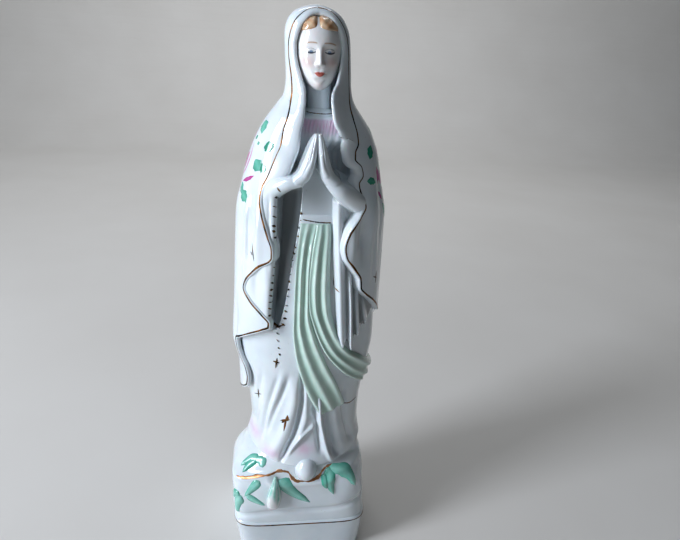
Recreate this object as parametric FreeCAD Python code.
import FreeCAD, Part
import math
import os

# Praying Lady figurine in slip-cast porcelain, 305 mm tall. Millimetres, +Z up.
# The origin is the middle of the underside; the figure faces -Y and its left hand is on +X.
# After firing everything is one rigid body. Each node is one of the clay forms that the potter
# casts or presses by itself and joins to its neighbours with slip.

Vec = FreeCAD.Vector

# driving dimensions
statueHeight = 305.0
footZ = 0.0
plinthBrimZ = 26.0        # the gilded line runs here
plinthTopZ = 31.0
rockTopZ = 66.0
hemZ = 62.0
waistZ = 213.0
shoulderZ = 259.0
wall = 3.2                # wall of the slip casting
hoodWall = 2.6
clearY = -60.0            # a plane well in front of the figure, where front outlines are drawn
frontReach = 58.0         # how far a front outline is swept back: up to the middle of the figure
farSide = 60.0            # half size of the blocks that trim a shape

# plinth: half width, half depth, corner radius
plinthFoot = (35.6, 29.0, 7.5)
plinthBrim = (38.8, 31.5, 7.5)
plinthLedge = (37.6, 30.3, 7.0)
plinthShiftX = -1.3
plinthShiftY = 1.0
recessDepth = 1.6
recessRim = 5.0
ventRadius = 4.0
slipHoleRadius = 3.0      # pierced between closed clay forms, so that air can leave in the kiln

# horizontal stations: height, half width, front depth, back depth
cloakStations = (
    (84.0, 36.4, 26.0, 26.5),
    (112.0, 37.6, 27.0, 28.0),
    (145.0, 39.9, 27.6, 29.0),
    (195.0, 38.9, 27.2, 27.5),
    (226.0, 35.2, 24.6, 24.1),
    (242.0, 30.8, 21.2, 21.0),
    (253.0, 25.5, 17.5, 19.0),
    (259.0, 21.8, 15.0, 18.5),
)
hoodStations = (
    (259.0, 21.8, 15.0, 18.5),
    (265.0, 17.4, 11.5, 18.5),
    (273.0, 15.8, 9.0, 19.0),
    (284.0, 15.4, 8.6, 19.0),
    (293.0, 14.2, 8.2, 17.5),
    (300.0, 10.8, 7.0, 13.5),
    (304.0, 5.0, 4.0, 6.5),
)
gownStations = (
    (hemZ, 34.0, 27.6, 27.0),
    (68.0, 34.0, 27.6, 27.0),
    (80.0, 31.8, 25.4, 25.0),
    (100.0, 32.6, 24.2, 24.5),
    (145.0, 36.0, 22.5, 25.8),
    (195.0, 35.4, 19.0, 24.3),
    (226.0, 31.4, 15.5, 20.8),
    (242.0, 27.2, 13.0, 17.8),
    (253.0, 22.3, 10.0, 15.8),
    (shoulderZ, 18.6, 8.0, 15.3),
)
rockStations = (
    (plinthTopZ, 37.6, 30.4, 31.4),
    (38.0, 38.8, 31.2, 33.0),
    (50.0, 39.0, 31.2, 33.0),
    (57.0, 38.2, 30.4, 31.4),
    (62.5, 35.4, 27.6, 28.6),
    (rockTopZ, 29.0, 22.0, 23.0),
)
rockShift = -1.2
rockSquareness = 4.0
leafRelief = 1.3

# skirt folds: long flutes across the front, deepest at the hem, running out below the waist
fluteAngles = (-62.0, -46.0, -32.0, -19.0, -7.0, 7.0, 19.0, 32.0, 46.0, 62.0)
fluteRadius = 4.2
fluteDepth = 1.5
fluteTopZ = 150.0
fluteTipRadius = 1.0
fluteTipOut = 1.2         # how far in front of the gown a flute's upper end lies

# front opening of the cloak, seen from the front: x, z of each bend of its wavy edges
cloakLeftEdge = (
    (-12.5, 262.0), (-15.4, 248.0), (-19.0, 236.5), (-25.2, 222.0), (-23.4, 208.5),
    (-19.4, 194.5), (-24.5, 186.5), (-33.4, 174.5), (-27.6, 165.0), (-20.4, 155.0),
    (-30.9, 147.5), (-38.6, 139.0), (-34.0, 125.0), (-33.0, 114.0), (-42.0, 106.0),
)
cloakRightEdge = (
    (13.5, 262.0), (19.2, 249.0), (17.9, 241.5), (22.2, 233.5), (20.4, 229.0), (25.2, 216.5),
    (18.0, 206.5), (15.2, 197.5), (19.5, 188.0), (25.0, 178.0), (31.7, 167.5), (42.0, 155.0),
)
openingBottomZ = 60.0
# lower hem of the cloak seen from the side: y, z from the front edge to the back
cloakHemSide = ((-3.0, 106.0), (8.0, 97.0), (20.0, 88.0), (34.0, 84.0))

hoodOpening = (12.4, 266.0, 302.0)    # half width, where the arch springs, top
hoodHaunch = ((12.1, 286.0), (8.2, 297.5))    # x, z of the arch on the way up
hoodOpeningBack = 1.0
hoodTip = (0.0, 0.8, statueHeight)

headStations = (
    (266.6, 3.4, 12.2, -4.0),
    (269.0, 6.0, 13.4, 2.0),
    (274.0, 8.6, 13.8, 8.0),
    (281.0, 10.1, 13.8, 12.5),
    (288.0, 10.6, 13.4, 14.0),
    (294.0, 9.6, 11.6, 12.5),
    (298.5, 6.6, 7.8, 8.5),
)
# nose: bridge, tip, both wings and a point inside the head
noseCorners = (
    (0.0, -13.2, 284.0),
    (0.0, -15.6, 277.6),
    (-1.7, -13.0, 276.6),
    (1.7, -13.0, 276.6),
    (0.0, -10.0, 280.0),
)
hairOut = 0.9
hairWindow = (11.0, 281.5)    # radius and height of the round window that shows the face
hairParting = 0.8
hairBackY = -5.0
neckRadius = 5.4
neckY = -2.0
neckFootZ = 252.0
neckTopZ = 270.0
collarZ = (255.0, 260.5)
collarOut = 1.1
collarFlare = 1.4

sashBandZ = (206.5, 212.5)
sashBandHalf = 13.0
sashOut = 1.8
# sash tails seen from the front: left and right outlines as x, z
nearTailLeft = ((-6.2, 208.0), (-7.6, 188.0), (-8.1, 155.0), (-5.4, 137.0), (1.6, 119.0), (11.0, 101.0))
nearTailRight = ((2.4, 208.0), (-2.0, 188.0), (-2.6, 168.0), (1.4, 149.0), (10.8, 128.0), (22.0, 106.0))
farTailLeft = ((1.6, 208.0), (-0.8, 190.0), (-1.2, 168.0), (3.4, 148.0), (13.6, 130.0), (30.0, 114.5))
farTailRight = ((8.5, 208.0), (8.7, 190.0), (10.0, 166.0), (14.6, 149.0), (24.0, 136.0), (35.4, 124.5))
nearTailOut = 2.2
farTailOut = 3.2

# sleeve, from under the forearm to its tip: height, x and y of its middle, half width, half depth
sleeveStations = (
    (236.0, 11.0, -16.6, 3.8, 3.2),
    (230.0, 14.4, -19.0, 6.2, 4.8),
    (220.0, 17.4, -20.0, 6.8, 5.6),
    (202.0, 18.2, -20.4, 6.0, 5.4),
    (178.0, 19.0, -20.8, 5.6, 5.0),
    (156.0, 20.2, -21.4, 4.4, 4.2),
    (147.0, 21.0, -21.6, 2.6, 2.8),
)
# the long groove down the front of each sleeve: top and tip as x, y, z, and the radii there
grooveTop = (17.6, -27.6, 214.0)
grooveTip = (21.2, -26.8, 140.0)
grooveRadii = (2.4, 3.2)

# hand, from the wrist to the fingertips: height, x and y of its middle, half width, half depth
handStations = (
    (222.0, 9.0, -22.0, 6.0, 4.2),
    (230.0, 4.6, -25.0, 4.4, 4.0),
    (238.0, 2.4, -27.0, 2.7, 3.9),
    (246.0, 1.6, -28.0, 1.9, 2.8),
    (252.5, 0.9, -28.0, 1.0, 1.3),
)

shoeCentre = (0.5, -26.8, 60.0)
shoeRadii = (6.4, 6.8, 6.4)

# leaves on the front of the rock: x, z of stem and tip, width
leaves = (
    (-24.0, 55.0, -33.0, 45.0, 4.2),
    (-36.5, 49.0, -36.0, 34.0, 5.2),
    (-33.0, 41.5, -22.0, 38.0, 3.6),
    (-10.5, 57.0, 5.0, 41.0, 5.0),
    (13.5, 60.0, 19.5, 46.0, 5.4),
    (17.5, 61.5, 29.5, 50.0, 5.2),
    (-29.0, 52.0, -21.5, 61.0, 4.8),
)
budTop = (-16.0, 58.0)
budY = -30.6
budLength = 18.0
budRadius = 3.6


def ring(z, halfWidth, front, back, shiftX=0.0, power=2.0, count=20):
    """Closed smooth horizontal outline: an egg or rounded box with its own front and back depths."""
    points = []
    for step in range(count):
        turn = 2.0 * math.pi * step / count
        across = math.copysign(abs(math.cos(turn)) ** (2.0 / power), math.cos(turn))
        along = math.copysign(abs(math.sin(turn)) ** (2.0 / power), math.sin(turn))
        depth = back if along > 0 else front
        points.append(Vec(shiftX + halfWidth * across, depth * along, z))
    curve = Part.BSplineCurve()
    curve.interpolate(Points=points, PeriodicFlag=True)
    return Part.Wire([curve.toShape()])


def spread(stations, out, shiftX=0.0, power=2.0):
    """Solid through a list of stations, each grown outwards by the same amount."""
    rings = [ring(z, w + out, f + out, b + out, shiftX, power) for z, w, f, b in stations]
    return Part.makeLoft(rings, True, False)


def towerOf(stations):
    """Solid through stations whose middles wander: height, middle x and y, half width, half depth."""
    rings = []
    for z, x, y, halfWidth, halfDepth in stations:
        outline = ring(z, halfWidth, halfDepth, halfDepth, count=12)
        outline.translate(Vec(x, y, 0.0))
        rings.append(outline)
    return Part.makeLoft(rings, True, False)


def roundedBox(z, size):
    """Outline of the plinth at one height: a rectangle with round corners, of lines and arcs."""
    halfWidth, halfDepth, radius = size
    corners = ((1, 1, 0), (-1, 1, 90), (-1, -1, 180), (1, -1, 270))
    edges = []
    ends = []
    for signX, signY, start in corners:
        centre = Vec(plinthShiftX + signX * (halfWidth - radius),
                     plinthShiftY + signY * (halfDepth - radius), z)
        angles = [math.radians(start + part) for part in (0, 45, 90)]
        arc = [centre + Vec(radius * math.cos(a), radius * math.sin(a), 0) for a in angles]
        edges.append(Part.Arc(*arc).toShape())
        ends.append((arc[0], arc[2]))
    joined = []
    for index, edge in enumerate(edges):
        joined.append(edge)
        following = ends[(index + 1) % len(ends)][0]
        joined.append(Part.makeLine(ends[index][1], following))
    return Part.Wire(joined)


def softCurve(points, y):
    """Smooth open curve through x, z points in the plane at this y."""
    curve = Part.BSplineCurve()
    curve.interpolate(Points=[Vec(x, y, z) for x, z in points])
    return curve.toShape()


def frontPrism(left, right, y, length):
    """Flat shape between two smooth edges, both listed from the top down, swept along +Y."""
    leftEdge = softCurve(left, y)
    rightEdge = softCurve(right, y)
    top = Part.makeLine(Vec(left[0][0], y, left[0][1]), Vec(right[0][0], y, right[0][1]))
    bottom = Part.makeLine(Vec(left[-1][0], y, left[-1][1]), Vec(right[-1][0], y, right[-1][1]))
    outline = Part.Wire(Part.__sortEdges__([leftEdge, bottom, rightEdge, top]))
    return Part.Face(outline).extrude(Vec(0, length, 0))


def onlySolid(shape):
    """The largest solid of a cut, without loose slivers."""
    return max(shape.Solids, key=lambda solid: solid.Volume)


def makePlinth():
    lower = Part.makeLoft([roundedBox(footZ, plinthFoot),
                           roundedBox(plinthBrimZ, plinthBrim)], True, True)
    upper = Part.makeLoft([roundedBox(plinthBrimZ, plinthBrim),
                           roundedBox(plinthTopZ, plinthLedge)], True, True)
    block = lower.fuse(upper)
    inner = [roundedBox(z, (size[0] - wall, size[1] - wall, size[2] - wall))
             for z, size in ((recessDepth + wall, plinthFoot), (plinthTopZ - wall, plinthLedge))]
    block = block.cut(Part.makeLoft(inner, True, True))
    rim = [size - recessRim for size in plinthFoot]
    recess = Part.Face(roundedBox(footZ, rim)).extrude(Vec(0, 0, recessDepth))
    block = block.cut(recess)
    vent = Part.makeCylinder(ventRadius, 3 * wall, Vec(0, 0, footZ))
    slipHole = Part.makeCylinder(slipHoleRadius, 3 * wall, Vec(0, 0, plinthTopZ - 2 * wall))
    return onlySolid(block.cut(vent).cut(slipHole))


def rockBody(out=0.0):
    return spread(rockStations, out, rockShift, rockSquareness)


def makeRock(skirt, shoe):
    inner = [(z, w - wall, f - wall, b - wall) for z, w, f, b in rockStations[:-1]]
    inner[0] = (plinthTopZ + wall,) + inner[0][1:]
    inner[-1] = (rockTopZ - 2 * wall,) + tuple(size - wall for size in inner[-1][1:])
    cavity = spread(inner, 0.0, rockShift, rockSquareness)
    cavity = cavity.common(slab(plinthTopZ, hemZ - wall))
    slipHole = Part.makeCylinder(slipHoleRadius, 3 * wall, Vec(0, 0, plinthTopZ - wall))
    return onlySolid(rockBody().cut(skirt).cut(shoe).cut(cavity).cut(slipHole))


def gownBody(out=0.0):
    return spread(gownStations, out)


def slab(lowZ, highZ):
    """Everything between two heights."""
    return Part.makeBox(2 * farSide, 2 * farSide, highZ - lowZ, Vec(-farSide, -farSide, lowZ))


def makeFlutes():
    """Slender cones that lean on the skirt from outside: what they bite out is the valley of a fold."""
    cones = []
    hemWidth, hemFront = gownStations[1][1:3]
    topWidth, topFront = gownStations[4][1:3]
    for angle in fluteAngles:
        side = math.sin(math.radians(angle))
        front = math.cos(math.radians(angle))
        outward = fluteRadius - fluteDepth
        foot = Vec((hemWidth + outward) * side, -(hemFront + outward) * front, hemZ - 1.0)
        top = Vec((topWidth + fluteTipOut) * side, -(topFront + fluteTipOut) * front, fluteTopZ)
        axis = top - foot
        cones.append(Part.makeCone(fluteRadius, fluteTipRadius, axis.Length, foot, axis))
    return cones


def makeSkirt():
    cavityStations = [(z, w - wall, f - wall, b - wall) for z, w, f, b in gownStations]
    cavity = spread(cavityStations, -fluteDepth).common(slab(hemZ + wall, waistZ - wall))
    slipHole = Part.makeCylinder(slipHoleRadius, 3 * wall, Vec(0, 0, hemZ - wall))
    skirt = gownBody().common(slab(hemZ, waistZ))
    for flute in makeFlutes():
        skirt = skirt.cut(flute)
    return onlySolid(skirt.cut(cavity).cut(slipHole))


def makeBodice(head):
    return onlySolid(gownBody().common(slab(waistZ, shoulderZ)).cut(head))


def lineXZ(start, end):
    """Straight edge between two x, z points in the plane in front of the figure."""
    return Part.makeLine(Vec(start[0], clearY, start[1]), Vec(end[0], clearY, end[1]))


def makeCloakOpening():
    """What is cut from the front of the cloak: all between its two wavy edges."""
    leftFoot = (cloakLeftEdge[-1][0], openingBottomZ)
    rightFoot = (cloakRightEdge[-1][0], openingBottomZ)
    edges = [softCurve(cloakLeftEdge, clearY), softCurve(cloakRightEdge, clearY)]
    edges.append(lineXZ(cloakLeftEdge[-1], leftFoot))
    edges.append(lineXZ(cloakRightEdge[-1], rightFoot))
    edges.append(lineXZ(cloakLeftEdge[0], cloakRightEdge[0]))
    edges.append(lineXZ(leftFoot, rightFoot))
    outline = Part.Wire(Part.__sortEdges__(edges))
    return Part.Face(outline).extrude(Vec(0, frontReach, 0))


def makeBelowHem():
    """What is cut from the cloak below its hem, which falls from the front edges to the back."""
    hem = Part.BSplineCurve()
    hem.interpolate(Points=[Vec(-farSide, y, z) for y, z in cloakHemSide])
    first = cloakHemSide[0]
    last = cloakHemSide[-1]
    corners = [Vec(-farSide, first[0], first[1]), Vec(-farSide, first[0], openingBottomZ),
               Vec(-farSide, last[0], openingBottomZ), Vec(-farSide, last[0], last[1])]
    sides = [Part.makeLine(corners[index], corners[index + 1]) for index in range(3)]
    outline = Part.Wire(Part.__sortEdges__([hem.toShape()] + sides))
    return Part.Face(outline).extrude(Vec(2 * farSide, 0, 0))


def makeMantle(sleeves):
    cloak = spread(cloakStations, 0.0).cut(gownBody()).cut(makeCloakOpening()).cut(makeBelowHem())
    for sleeve in sleeves:
        cloak = cloak.cut(sleeve)
    return onlySolid(cloak)


def makeHood(head):
    tip = Part.Vertex(Vec(*hoodTip))
    outer = Part.makeLoft([ring(*station) for station in hoodStations] + [tip], True, False)
    innerStations = [(z, w - hoodWall, f - hoodWall, b - hoodWall) for z, w, f, b in hoodStations[:-1]]
    inner = spread(innerStations, 0.0)
    halfWidth, springZ, topZ = hoodOpening
    rise = ((halfWidth, shoulderZ - 4.0), (halfWidth, springZ)) + hoodHaunch
    arch = [(-x, z) for x, z in rise] + [(0.0, topZ)] + list(reversed(rise))
    top = softCurve(arch, clearY)
    opening = Part.Face(Part.Wire([top, lineXZ(arch[0], arch[-1])]))
    opening = opening.extrude(Vec(0, hoodOpeningBack - clearY, 0))
    return onlySolid(outer.cut(inner).cut(opening).cut(head))


def makeHead():
    skull = Part.makeLoft([ring(*station, count=16) for station in headStations], True, False)
    neck = Part.makeCylinder(neckRadius, neckTopZ - neckFootZ, Vec(0, neckY, neckFootZ))
    bridge, tip, left, right, inside = [Vec(*corner) for corner in noseCorners]
    faces = []
    for a, b, c in ((bridge, left, tip), (bridge, tip, right), (tip, left, right),
                    (inside, right, left), (inside, left, bridge), (inside, bridge, right)):
        faces.append(Part.Face(Part.makePolygon([a, b, c, a])))
    nose = Part.makeSolid(Part.makeShell(faces))
    return onlySolid(skull.fuse(neck).fuse(nose))


def makeHair(head):
    """Two parted waves over the brow: a cap over the skull, cut away from the face."""
    rings = [ring(z, w + hairOut, f + hairOut, 0.0, count=16) for z, w, f, b in headStations[2:]]
    radius, middleZ = hairWindow
    window = Part.makeCylinder(radius, farSide, Vec(0, clearY, middleZ), Vec(0, 1, 0))
    parting = Part.makeBox(hairParting, farSide, farSide, Vec(-hairParting / 2, clearY, shoulderZ))
    backHalf = Part.makeBox(2 * farSide, farSide, farSide, Vec(-farSide, hairBackY, shoulderZ))
    waves = Part.makeLoft(rings, True, False).cut(head).cut(window).cut(parting).cut(backHalf)
    largest = sorted(waves.Solids, key=lambda solid: -solid.Volume)[:2]
    return Part.makeCompound(largest)


def makeCollar(head, bodice):
    bottom, top = collarZ
    radius = neckRadius + collarOut
    band = Part.makeCone(radius + collarFlare, radius, top - bottom, Vec(0, neckY, bottom))
    return onlySolid(band.cut(head).cut(bodice))


def mirrored(point, side):
    return Vec(side * point[0], point[1], point[2])


def makeSleeve(side):
    """Hanging sleeve with one long groove down its front, joined to the gown behind it."""
    stations = [(z, side * x, y, w, d) for z, x, y, w, d in sleeveStations]
    top = mirrored(grooveTop, side)
    axis = mirrored(grooveTip, side) - top
    groove = Part.makeCone(grooveRadii[0], grooveRadii[1], axis.Length, top, axis)
    return onlySolid(towerOf(stations).cut(groove).cut(gownBody()))


def makeHand(side, sleeve):
    stations = [(z, side * x, y, w, d) for z, x, y, w, d in handStations]
    corner = Vec(0.0 if side > 0 else -farSide, clearY, waistZ)
    half = Part.makeBox(farSide, farSide, farSide, corner)
    return onlySolid(towerOf(stations).common(half).cut(sleeve).cut(gownBody()))


def makeSashTail(left, right, out, neighbours):
    strip = frontPrism(left, right, clearY, frontReach)
    tail = strip.common(gownBody(out)).cut(gownBody())
    for neighbour in neighbours:
        tail = tail.cut(neighbour)
    return onlySolid(tail)


def makeSashBand(neighbours):
    bottom, top = sashBandZ
    front = Part.makeBox(2 * sashBandHalf, frontReach, top - bottom, Vec(-sashBandHalf, clearY, bottom))
    band = front.common(gownBody(sashOut)).cut(gownBody())
    for neighbour in neighbours:
        band = band.cut(neighbour)
    return onlySolid(band)


def makeShoe(skirt):
    ball = Part.makeSphere(1.0)
    stretch = FreeCAD.Matrix()
    stretch.scale(*shoeRadii)
    shoe = ball.transformGeometry(stretch)
    shoe.translate(Vec(*shoeCentre))
    return onlySolid(shoe.cut(skirt))


def makeLeaves(skirt, shoe):
    """Pressed clay leaves: pointed ovals from two arcs, laid on the rock."""
    relief = rockBody(leafRelief).cut(rockBody())
    found = []
    for stemX, stemZ, tipX, tipZ, width in leaves:
        stem = Vec(stemX, clearY, stemZ)
        tip = Vec(tipX, clearY, tipZ)
        middle = (stem + tip) * 0.5
        across = (tip - stem).cross(Vec(0, 1, 0)).normalize() * (width / 2.0)
        sides = [Part.Arc(stem, middle + across, tip).toShape(),
                 Part.Arc(tip, middle - across, stem).toShape()]
        prism = Part.Face(Part.Wire(sides)).extrude(Vec(0, frontReach, 0))
        leaf = prism.common(relief).cut(skirt).cut(shoe)
        for earlier in found:
            leaf = leaf.cut(earlier)
        found.append(onlySolid(leaf))
    return Part.makeCompound(found)


def makeBud(rock, leafGroup):
    x, z = budTop
    outline = ((0.0, z), (budRadius * 0.7, z - 0.18 * budLength), (budRadius, z - 0.5 * budLength),
               (budRadius * 0.75, z - 0.85 * budLength), (0.0, z - budLength))
    curve = softCurve(outline, 0.0)
    axis = Part.makeLine(Vec(0, 0, z - budLength), Vec(0, 0, z))
    profile = Part.Face(Part.Wire([curve, axis]))
    bud = profile.revolve(Vec(0, 0, z), Vec(0, 0, 1), 360)
    bud.translate(Vec(x, budY, 0))
    return onlySolid(bud.cut(rock).cut(leafGroup))


def main():
    os.makedirs("parts", exist_ok=True)
    skirt = makeSkirt()
    head = makeHead()
    bodice = makeBodice(head)
    sleeves = [makeSleeve(side) for side in (-1, 1)]
    hands = [makeHand(side, sleeve) for side, sleeve in zip((-1, 1), sleeves)]
    mantle = makeMantle(sleeves)
    band = makeSashBand(sleeves + [mantle])
    farTail = makeSashTail(farTailLeft, farTailRight, farTailOut, [band, mantle] + sleeves)
    nearTail = makeSashTail(nearTailLeft, nearTailRight, nearTailOut, [band, mantle, farTail] + sleeves)
    shoe = makeShoe(skirt)
    rock = makeRock(skirt, shoe)
    leafGroup = makeLeaves(skirt, shoe)
    nodes = {
        "plinth": makePlinth(),
        "rock_mound": rock,
        "gown_skirt": skirt,
        "gown_bodice": bodice,
        "mantle": mantle,
        "head": head,
        "hood": makeHood(head),
        "hair": makeHair(head),
        "collar_band": makeCollar(head, bodice),
        "right_sleeve": sleeves[0],
        "left_sleeve": sleeves[1],
        "right_hand": hands[0],
        "left_hand": hands[1],
        "sash_band": band,
        "sash_near_tail": nearTail,
        "sash_far_tail": farTail,
        "shoe": shoe,
        "leaf_sprigs": leafGroup,
        "rose_bud": makeBud(rock, leafGroup),
    }
    for name, shape in nodes.items():
        shape.exportStep(os.path.join("parts", name + ".step"))
        state = "ok" if shape.isValid() else "BAD"
        print(name, len(shape.Solids), "solid", round(shape.Volume), "mm3", state)


main()
